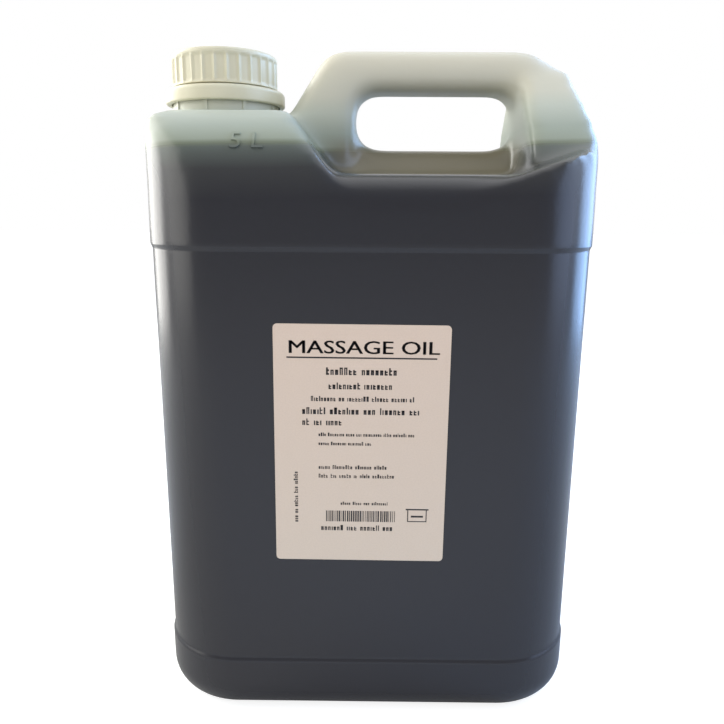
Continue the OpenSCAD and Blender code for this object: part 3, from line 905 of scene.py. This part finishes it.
class CANISTER_OT_stage(bpy.types.Operator):
    """Sets the floor, the soft lamps, the world and the camera"""

    bl_idname = "canister.stage"
    bl_label = "Stage"

    def execute(self, context):
        scene = context.scene
        scene.view_settings.view_transform = "Standard"

        camera_data = bpy.data.cameras.new("camera")
        camera_data.sensor_width = 36
        camera_data.lens = 33.54
        camera_data.clip_start = 0.01
        camera = bpy.data.objects.new("camera", camera_data)
        scene.collection.objects.link(camera)
        yaw, look_down, roll = 0.0075, 0.2231, 0.0066
        place = Matrix.Translation((-1.19 * MM, -319.44 * MM, 218.57 * MM))
        turn = (Matrix.Rotation(yaw, 4, "Z") @ Matrix.Rotation(math.pi / 2 - look_down, 4, "X")
                @ Matrix.Rotation(roll, 4, "Z"))
        camera.matrix_world = place @ turn
        scene.camera = camera

        bm = bmesh.new()
        bmesh.ops.create_grid(bm, x_segments=8, y_segments=8, size=6)
        mesh = bpy.data.meshes.new("floor")
        bm.to_mesh(mesh)
        bm.free()
        floor = bpy.data.objects.new("floor", mesh)
        scene.collection.objects.link(floor)

        # Pale floor: a matt sheet that keeps the shadow, and white for the camera
        material = bpy.data.materials.new("pale_floor")
        material.use_nodes = True
        tree = material.node_tree
        tree.nodes.clear()
        matt = node(tree, "ShaderNodeBsdfDiffuse", inputs={"Color": linear("#bcbdbc")})
        glow = node(tree, "ShaderNodeEmission", inputs={"Color": linear("#ffffff"), "Strength": 0.78})
        seen = node(tree, "ShaderNodeLightPath").outputs["Is Camera Ray"]
        added = node(tree, "ShaderNodeAddShader", {0: matt.outputs[0], 1: glow.outputs[0]})
        both = node(tree, "ShaderNodeMixShader", {"Fac": seen, 1: matt.outputs[0], 2: added.outputs[0]})
        node(tree, "ShaderNodeOutputMaterial", {"Surface": both.outputs[0]})
        mesh.materials.append(material)

        # Even room light, and white behind the object and in what it reflects
        world = bpy.data.worlds.new("world")
        scene.world = world
        world.use_nodes = True
        tree = world.node_tree
        tree.nodes.clear()
        path = node(tree, "ShaderNodeLightPath").outputs
        direct = node(tree, "ShaderNodeMath", {0: path["Is Camera Ray"], 1: path["Is Glossy Ray"]},
                      operation="MAXIMUM").outputs[0]
        direct = node(tree, "ShaderNodeMath", {0: direct, 1: path["Is Transmission Ray"]},
                      operation="MAXIMUM").outputs[0]
        room = node(tree, "ShaderNodeBackground", inputs={"Color": linear("#e6e8ec"), "Strength": 0.8})
        white = node(tree, "ShaderNodeBackground", inputs={"Color": linear("#ffffff"), "Strength": 1.0})
        dim = node(tree, "ShaderNodeBackground", inputs={"Color": linear("#e6e8ec"), "Strength": 0.3})
        mixed = node(tree, "ShaderNodeMixShader", {
            "Fac": direct, 1: room.outputs[0], 2: white.outputs[0]})
        # In front of the object the room is dim, so its reflection doesn't wash out the oil
        facing = node(tree, "ShaderNodeTexCoord").outputs["Generated"]
        facing = node(tree, "ShaderNodeSeparateXYZ", {"Vector": facing}).outputs["Y"]
        front = node(tree, "ShaderNodeMapRange", {"Value": facing}, {
            "From Min": 0.1, "From Max": -0.4}).outputs["Result"]
        front = node(tree, "ShaderNodeMath", {0: front, 1: path["Is Glossy Ray"]},
                     operation="MULTIPLY").outputs[0]
        mixed = node(tree, "ShaderNodeMixShader", {
            "Fac": front, 1: mixed.outputs[0], 2: dim.outputs[0]})
        node(tree, "ShaderNodeOutputWorld", {"Surface": mixed.outputs[0]})

        # Lamps: power in watts, size, colour, place and aim in metres
        for name, power, size, colour, spot, aim in (
                ("window_left", 12.0, (0.7, 1.1), "#fffdf8", (-0.85, 0.38, 0.5), (-0.08, 0, 0.2)),
                ("fill_left", 4.0, (0.6, 1.0), "#fffdf6", (-0.95, -0.35, 0.5), (0, 0, 0.16)),
                ("room_right", 18.0, (0.7, 1.1), "#92b8ec", (0.85, 0.38, 0.5), (0.08, 0, 0.2)),
                ("fill_right", 5.0, (0.6, 1.0), "#a9c0ea", (1.0, -0.35, 0.5), (0, 0, 0.16)),
                ("ceiling", 2.0, (1.6, 1.2), "#ffffff", (0, 0.1, 1.25), (0, 0, 0.2)),
                ("room_front", 10.0, (3.0, 1.6), "#fff6ee", (0.1, -1.6, 0.6), (0, 0, 0.15))):
            lamp = bpy.data.lights.new(name, "AREA")
            lamp.energy = power
            lamp.shape = "RECTANGLE"
            lamp.size, lamp.size_y = size
            lamp.color = linear(colour)[:3]
            made = bpy.data.objects.new(name, lamp)
            scene.collection.objects.link(made)
            made.location = spot
            made.visible_glossy = name != "room_front"
            made.rotation_euler = (Vector(aim) - Vector(spot)).to_track_quat("-Z", "Y").to_euler()
        return {"FINISHED"}


class CANISTER_PT_panel(bpy.types.Panel):
    """Lists the steps that build the canister"""

    bl_label = "Oil canister"
    bl_idname = "CANISTER_PT_panel"
    bl_space_type = "VIEW_3D"
    bl_region_type = "UI"
    bl_category = "Canister"

    def draw(self, context):
        column = self.layout.column(align=True)
        for step in STEPS:
            column.operator(step.bl_idname)
        for group in (context.scene.canister, context.scene.closure, context.scene.label):
            for name in group.__annotations__:
                self.layout.prop(group, name)


STEPS = (CANISTER_OT_stage, CANISTER_OT_shell, CANISTER_OT_neck, CANISTER_OT_cap,
         CANISTER_OT_band, CANISTER_OT_label)
GROUPS = (("canister", CanisterSettings), ("closure", ClosureSettings), ("label", LabelSettings))


def register():
    """Adds the settings, the operators and the panel."""
    for name, group in GROUPS:
        bpy.utils.register_class(group)
        setattr(bpy.types.Scene, name, bpy.props.PointerProperty(type=group))
    for step in STEPS:
        bpy.utils.register_class(step)
    bpy.utils.register_class(CANISTER_PT_panel)


def unregister():
    """Takes them away again."""
    bpy.utils.unregister_class(CANISTER_PT_panel)
    for step in reversed(STEPS):
        bpy.utils.unregister_class(step)
    for name, group in reversed(GROUPS):
        delattr(bpy.types.Scene, name)
        bpy.utils.unregister_class(group)


def main():
    """Builds every piece in order."""
    register()
    bpy.ops.canister.stage()
    bpy.ops.canister.shell()
    bpy.ops.canister.neck()
    bpy.ops.canister.cap()
    bpy.ops.canister.band()
    bpy.ops.canister.label()


if __name__ == "__main__":
    main()
